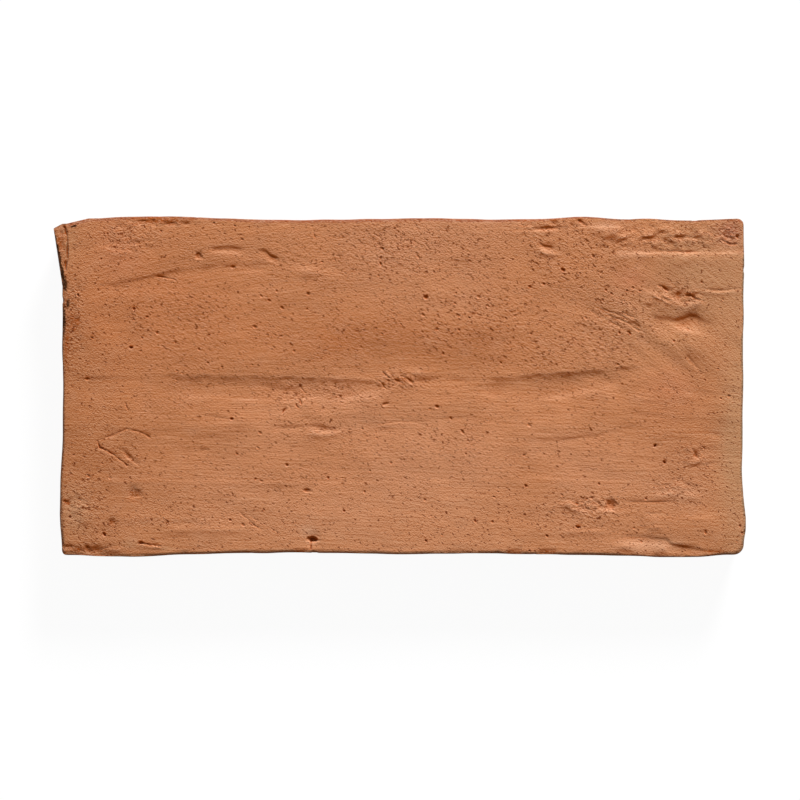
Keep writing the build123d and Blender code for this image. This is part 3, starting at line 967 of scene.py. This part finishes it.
def paint(piece, relief, steep, inner):
    """Gives each point of the piece its clay, with painted shade on the arris, and what the clay's grain,
    hollows, rust, blackening and painted light and shade follow.
    """
    mesh = piece.data
    places = read(mesh.vertices, "co")
    normals = read(mesh.vertices, "normal")
    px, py = to_px(places)
    upward = smooth_step(normals[:, 2], -0.2, 0.3)

    hollow = sunk(relief, *HOLLOW)
    trough = sunk(relief, *TROUGH)
    crest = sunk(-relief, *CREST)
    rough = np.maximum(steep, covered([(*row[:4], 1.0) for row in (*ROUGH, *TORN)]))
    down = np.gradient(fine.blur(relief, 1.0), FINE_PX * PX / MM, axis=0)
    # painted shade: hollows, troughs and slopes that face away from the key light get the rust colour
    shaded = np.maximum(np.maximum(hollow, TROUGH_SHARE * trough), smooth_step(-down, *SHADED_SLOPES))
    # painted highlight: slopes that face the key light
    lit = smooth_step(down, *LIT_SLOPES)
    # each field over the face, and its value on the sides and the bed
    fields = {
        # rust patches, fewer on slopes toward the key light: painted highlight
        "rust_and_shade": (covered(RUSTS) * (1 - 0.7 * lit), 0.0),
        "shaded": (shaded, 0.0),
        "blackened_and_shade": (blackened(), 0.0),
        # paler on crests, which is wear, and on slopes toward the key light, which is painted highlight
        "worn_and_lit": (np.maximum(crest, lit), 0.1),
        "pitted": (covered(PITTED, BARE_SHARE), 0.35),
        "rough": (rough, 0.5),
    }
    for name, (field, elsewhere) in fields.items():
        values = fine.sample(field, px, py) * upward + elsewhere * (1 - upward)
        mesh.attributes.new(name, "FLOAT", "POINT").data.foreach_set("value", values)

    rows = fine.sample(course_of_strokes(), px, py)
    strokes = np.where(
        upward[:, None] > 0.5,
        np.stack((places[:, 0], -rows * PX, places[:, 2]), axis=1),
        np.stack((places[:, 0] + places[:, 1], places[:, 2], places[:, 2]), axis=1),
    )
    beneath = normals[:, 2] < -0.7
    strokes[beneath] = places[beneath]
    mesh.attributes.new("strokes", "FLOAT_VECTOR", "POINT").data.foreach_set("vector", strokes.ravel())

    colours = clay_colours()
    clay = np.stack([fine.sample(colours[..., channel], px, py) for channel in range(3)], axis=1)
    flat = smooth_step(np.abs(normals[:, 2]), 0.2, 0.6)[:, None]
    clay = clay * flat + SIDE * (1 - flat)
    # painted shade along the rounded arris, in its own colour on each side
    outer = 1 - coarse.sample(inner, px, py)
    arris = outer * smooth_step(normals[:, 2], 0.05, 0.3)
    for direction, begin, full, shown in ARRIS_SHADES:
        weight = arris * smooth_step(normals[:, :2] @ np.array(direction), begin, full)
        clay += weight[:, None] * (shown - clay)
    values = np.ones((len(places), 4))
    values[:, :3] = clay
    mesh.attributes.new("clay", "FLOAT_COLOR", "POINT").data.foreach_set("color", values.ravel())


# Noises in the clay: cells to a metre, detail and roughness
MOTTLE = (45, 5, 0.6)
PATCHES = (55, 4, 0.6)
DUST = (130, 6, 0.65)
STREAKS = (700, 3, 0.6)
LINES = (900, 2, 0.5)
SLANT = (1000, 3, 0.6)
GRAIN = (1500, 4, 0.8)
SAND = (1600, 4, 0.75)
LARGE_PORES = (660, 2, 0.6)
SMALL_PORES = (1250, 2, 0.6)
RUST_BORDER = (900, 4, 0.65)
BLACKENED_BORDER = (1100, 4, 0.65)

# Levels below which a noise is a pore, on bare ground and on ground full of pits
LARGE_PORE_LEVELS = (0.296, 0.34)
SMALL_PORE_LEVELS = (0.346, 0.418)

# The fine relief in millimetres, where there is least and most of what each follows
SAND_HEIGHTS = (0.46, 1.25)
SLANT_HEIGHTS = (0.12, 0.84)
LINE_HEIGHTS = (0.33, 0.03)
PORE_DEPTH = 0.16
BUMP_STRENGTH = 0.35
GRAIN_REACH = 0.12 * MM  # how far to either side lie the heights that tell which way a grain faces
FULL_SLOPE = 0.1  # difference of these heights that counts in full

# How far each of these covers the clay at most
DUST_SHARE = 0.22
WORN_AND_LIT_SHARE = 0.46
LIT_GRAIN_SHARE = 0.64
SHADED_GRAIN_SHARE = 0.9
RUST_AND_SHADE_SHARE = 0.95
PORE_SHADE_SHARE = 0.9
BLACKENED_AND_SHADE_SHARE = 0.88


class Nodes:
    """A short way to write a shader's nodes."""

    def __init__(self, tree):
        self.tree = tree
        tree.nodes.clear()

    def add(self, kind, settings=None, **inputs):
        node = self.tree.nodes.new(kind)
        for name, value in (settings or {}).items():
            setattr(node, name, value)
        for name, value in inputs.items():
            key = int(name[1:]) if name[0] == "_" else name.replace("_", " ")
            self.put(node.inputs[key], value)
        return node

    def put(self, socket, value):
        """Sets an input, or links another node's output to it."""
        if isinstance(value, bpy.types.NodeSocket):
            self.tree.links.new(value, socket)
        else:
            socket.default_value = value

    def mapped(self, where, **change):
        return self.add("ShaderNodeMapping", Vector=where, **change).outputs["Vector"]

    def noise(self, where, scale, detail, rough):
        texture = self.add("ShaderNodeTexNoise", Vector=where, Scale=scale, Detail=detail, Roughness=rough)
        return texture.outputs["Fac"]

    def spread(self, value, low, high, to_low, to_high):
        numbers = {"_1": low, "_2": high, "_3": to_low, "_4": to_high}
        return self.add("ShaderNodeMapRange", {"clamp": True}, _0=value, **numbers).outputs["Result"]

    def math(self, operation, first, second):
        return self.add("ShaderNodeMath", {"operation": operation}, _0=first, _1=second).outputs["Value"]

    def mixed(self, share, first, second, blend="MIX"):
        settings = {"data_type": "RGBA", "blend_type": blend}
        return self.add("ShaderNodeMix", settings, _0=share, _6=first, _7=second).outputs[2]

    def attribute(self, name, output="Fac"):
        return self.add("ShaderNodeAttribute", {"attribute_name": name}).outputs[output]


def pores(nodes, where, full, noise, levels):
    """Ragged pores: how far a noise dips below a level, which is higher on ground full of pits."""
    level = nodes.spread(full, 0, 1, *levels)
    return nodes.math("SUBTRACT", level, nodes.noise(where, *noise))


def fine_relief(nodes, where, brushed, heights, reach):
    """The height of the sand, the slanted marks and the fine strokes, that far toward the far edge."""
    where = nodes.mapped(where, Location=(0, reach, 0))
    brushed = nodes.mapped(brushed, Location=(0, reach, 0))
    sand_height, slant_height, line_height = heights
    sand = nodes.math("MULTIPLY", nodes.noise(where, *SAND), sand_height)
    slant = nodes.math("MULTIPLY", nodes.noise(slanted(nodes, where), *SLANT), slant_height)
    lines = nodes.math("MULTIPLY", nodes.noise(brushed, *LINES), line_height)
    return nodes.math("ADD", nodes.math("ADD", sand, slant), lines)


def slanted(nodes, where):
    """Places drawn out along the slant of the pits."""
    turned_place = nodes.mapped(where, Rotation=(0, 0, radians(PIT_TURN)))
    return nodes.mapped(turned_place, Scale=(0.5, 1.0, 1.0))


def ragged_share(nodes, where, share, noise):
    """A share, 0 to 1, with a soft border made crisp and ragged."""
    uneven = nodes.spread(nodes.noise(where, *noise), 0.25, 0.75, -0.35, 0.35)
    return nodes.spread(nodes.math("ADD", share, uneven), 0.3, 0.62, 0.0, 1.0)


def terracotta():
    """Porous fired clay: mottled, streaked along the strokes, grained with sand, darker in its hollows by
    painted shade, and with painted highlight and painted shade on its grains and slopes.
    """
    material = bpy.data.materials.new("terracotta")
    material.use_nodes = True
    nodes = Nodes(material.node_tree)
    where = nodes.add("ShaderNodeTexCoord").outputs["Object"]
    brushed = nodes.mapped(nodes.attribute("strokes", "Vector"), Scale=(0.08, 1.0, 1.0))
    patchy = nodes.noise(where, *PATCHES)
    full = nodes.math("ADD", nodes.attribute("pitted"), nodes.spread(patchy, 0.3, 0.7, -0.25, 0.25))
    coarse_grain = nodes.math("ADD", nodes.attribute("rough"), nodes.spread(patchy, 0.35, 0.65, 0.0, 0.5))
    heights = (
        nodes.spread(coarse_grain, 0, 1.5, *SAND_HEIGHTS),
        nodes.spread(full, 0, 1, *SLANT_HEIGHTS),
        nodes.spread(full, -0.15, 0.45, *LINE_HEIGHTS),
    )

    # the clay and its grain, paler on worn crests and with painted highlight on slopes toward the key light
    mottle = nodes.spread(nodes.noise(where, *MOTTLE), 0.3, 0.7, 0.955, 1.045)
    streak = nodes.spread(nodes.noise(brushed, *STREAKS), 0.3, 0.7, 0.955, 1.045)
    grain = nodes.spread(nodes.noise(where, *GRAIN), 0.25, 0.75, 0.89, 1.11)
    shade = nodes.math("MULTIPLY", nodes.math("MULTIPLY", mottle, streak), grain)
    shades = nodes.add("ShaderNodeCombineColor", _0=shade, _1=shade, _2=shade).outputs["Color"]
    colour = nodes.mixed(1.0, nodes.attribute("clay", "Color"), shades, "MULTIPLY")
    dusty = nodes.spread(nodes.noise(where, *DUST), 0.52, 0.75, 0.0, DUST_SHARE)
    colour = nodes.mixed(dusty, colour, (*PALE, 1))
    # pale on worn crests and, as painted highlight, on slopes toward the key light
    worn_and_lit = nodes.math("MULTIPLY", nodes.attribute("worn_and_lit"), WORN_AND_LIT_SHARE)
    colour = nodes.mixed(worn_and_lit, colour, (*PALE, 1))

    # its grains and fine strokes: painted highlight on the side toward the far edge and key light, painted
    # shade on the other
    nearer = fine_relief(nodes, where, brushed, heights, -GRAIN_REACH)
    farther = fine_relief(nodes, where, brushed, heights, GRAIN_REACH)
    # painted light on each grain: above zero where it faces the key light, below zero where it faces away
    facing = nodes.math("SUBTRACT", nearer, farther)
    colour = nodes.mixed(nodes.spread(facing, 0.0, FULL_SLOPE, 0.0, LIT_GRAIN_SHARE), colour, (*PALE, 1))
    colour = nodes.mixed(nodes.spread(facing, 0.0, -FULL_SLOPE, 0.0, SHADED_GRAIN_SHARE), colour, (*RUST_AND_SHADE, 1))

    # its rust and painted shade, its pores with painted shade in them, and its blackening and painted arris
    # shade
    rust_and_shade = ragged_share(nodes, where, nodes.attribute("rust_and_shade"), RUST_BORDER)
    # painted shade: the rust colour also covers the shaded hollows and slopes
    rust_and_shade = nodes.math("MULTIPLY", nodes.math("MAXIMUM", rust_and_shade, nodes.attribute("shaded")), RUST_AND_SHADE_SHARE)
    colour = nodes.mixed(rust_and_shade, colour, (*RUST_AND_SHADE, 1))
    small = pores(nodes, slanted(nodes, where), full, SMALL_PORES, SMALL_PORE_LEVELS)
    large = pores(nodes, slanted(nodes, where), full, LARGE_PORES, LARGE_PORE_LEVELS)
    open_pores = nodes.math("MAXIMUM", small, large)
    # painted shade: the pores' dark colour
    colour = nodes.mixed(nodes.spread(open_pores, -0.006, 0.024, 0.0, PORE_SHADE_SHARE), colour, (*PORE_SHADE, 1))
    blackened_and_shade = ragged_share(nodes, where, nodes.attribute("blackened_and_shade"), BLACKENED_BORDER)
    colour = nodes.mixed(nodes.math("MULTIPLY", blackened_and_shade, BLACKENED_AND_SHADE_SHARE), colour, (*BLACK_BROWN, 1))

    # the fine relief, in millimetres
    height = fine_relief(nodes, where, brushed, heights, 0)
    height = nodes.math("SUBTRACT", height, nodes.spread(open_pores, -0.012, 0.026, 0.0, PORE_DEPTH))
    bump = nodes.add("ShaderNodeBump", Height=height, Strength=BUMP_STRENGTH, Distance=MM).outputs["Normal"]

    shader = nodes.add("ShaderNodeBsdfPrincipled", Base_Color=colour, Normal=bump)
    nodes.put(shader.inputs["Roughness"], nodes.spread(patchy, 0.3, 0.7, 0.86, 0.96))
    shader.inputs["Specular IOR Level"].default_value = 0.04
    nodes.add("ShaderNodeOutputMaterial", Surface=shader.outputs["BSDF"])
    return material


# The studio: the floor, the fill light, the key light and the lens
FLOOR_SIZE = 8.0
FLOOR_BELOW = 0.2 * MM
FILL_STRENGTH = 0.252
KEY_ENERGY = 343
KEY_SIZE = 1.5
KEY_DISTANCE = 5.0
KEY_RISE = radians(27)
KEY_BEARING = radians(18)  # from the far side toward the right
LENS_MM = 300


def show_white(nodes):
    """1 for what the camera sees, also in reflections and through glass."""
    path = nodes.add("ShaderNodeLightPath").outputs
    seen = nodes.math("MAXIMUM", path["Is Camera Ray"], path["Is Glossy Ray"])
    return nodes.math("MAXIMUM", seen, path["Is Transmission Ray"])


def white_floor():
    """A white floor that keeps a faint shadow."""
    bpy.ops.mesh.primitive_plane_add(size=FLOOR_SIZE, location=(0, 0, -FLOOR_BELOW))
    floor = bpy.context.object
    floor.name = "floor"
    material = bpy.data.materials.new("floor")
    material.use_nodes = True
    nodes = Nodes(material.node_tree)
    paper = nodes.add("ShaderNodeBsdfDiffuse", Color=(0.8, 0.8, 0.8, 1))
    tint = nodes.add("ShaderNodeBsdfDiffuse", Color=(0.09, 0.09, 0.09, 1))
    glow = nodes.add("ShaderNodeEmission", Color=(1, 1, 1, 1), Strength=0.94)
    white = nodes.add("ShaderNodeAddShader", _0=tint.outputs[0], _1=glow.outputs[0])
    shown = nodes.add("ShaderNodeMixShader", _0=show_white(nodes), _1=paper.outputs[0], _2=white.outputs[0])
    nodes.add("ShaderNodeOutputMaterial", Surface=shown.outputs[0])
    floor.data.materials.append(material)


def studio():
    """The floor, a soft key light from beyond the tile's far edge, and an even fill."""
    white_floor()
    world = bpy.data.worlds.new("studio")
    bpy.context.scene.world = world
    world.use_nodes = True
    nodes = Nodes(world.node_tree)
    strength = nodes.spread(show_white(nodes), 0, 1, FILL_STRENGTH, 1.0)
    background = nodes.add("ShaderNodeBackground", Color=(1, 1, 1, 1), Strength=strength)
    nodes.add("ShaderNodeOutputWorld", Surface=background.outputs[0])

    lamp = bpy.data.lights.new("key", "AREA")
    lamp.shape = "DISK"
    lamp.size = KEY_SIZE
    lamp.energy = KEY_ENERGY
    key = bpy.data.objects.new("key", lamp)
    bpy.context.scene.collection.objects.link(key)
    level = KEY_DISTANCE * cos(KEY_RISE)
    key.location = (level * sin(KEY_BEARING), level * cos(KEY_BEARING), KEY_DISTANCE * sin(KEY_RISE))
    key.rotation_euler = (-key.location).to_track_quat("-Z", "Y").to_euler()


def photograph_camera():
    """Looks straight down through a long lens, with the photograph's scale at the face."""
    camera = bpy.data.cameras.new("camera")
    camera.lens = LENS_MM
    view = bpy.data.objects.new("camera", camera)
    bpy.context.scene.collection.objects.link(view)
    distance = LENS_MM * IMAGE_PX * PX / camera.sensor_width
    middle = IMAGE_PX / 2
    view.location = ((middle - CENTRE_PX[0]) * PX, (CENTRE_PX[1] - middle) * PX, FACE_Z + distance)
    bpy.context.scene.camera = view


relief, steep = struck_relief()
face, inner = frame_face(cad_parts["tile"])
tile = clay_body(relief, face, inner)
paint(tile, relief, steep, inner)
tile.data.materials.clear()
tile.data.materials.append(terracotta())
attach(tile, "root")
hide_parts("tile")
studio()
photograph_camera()
bpy.context.scene.view_settings.view_transform = "Standard"
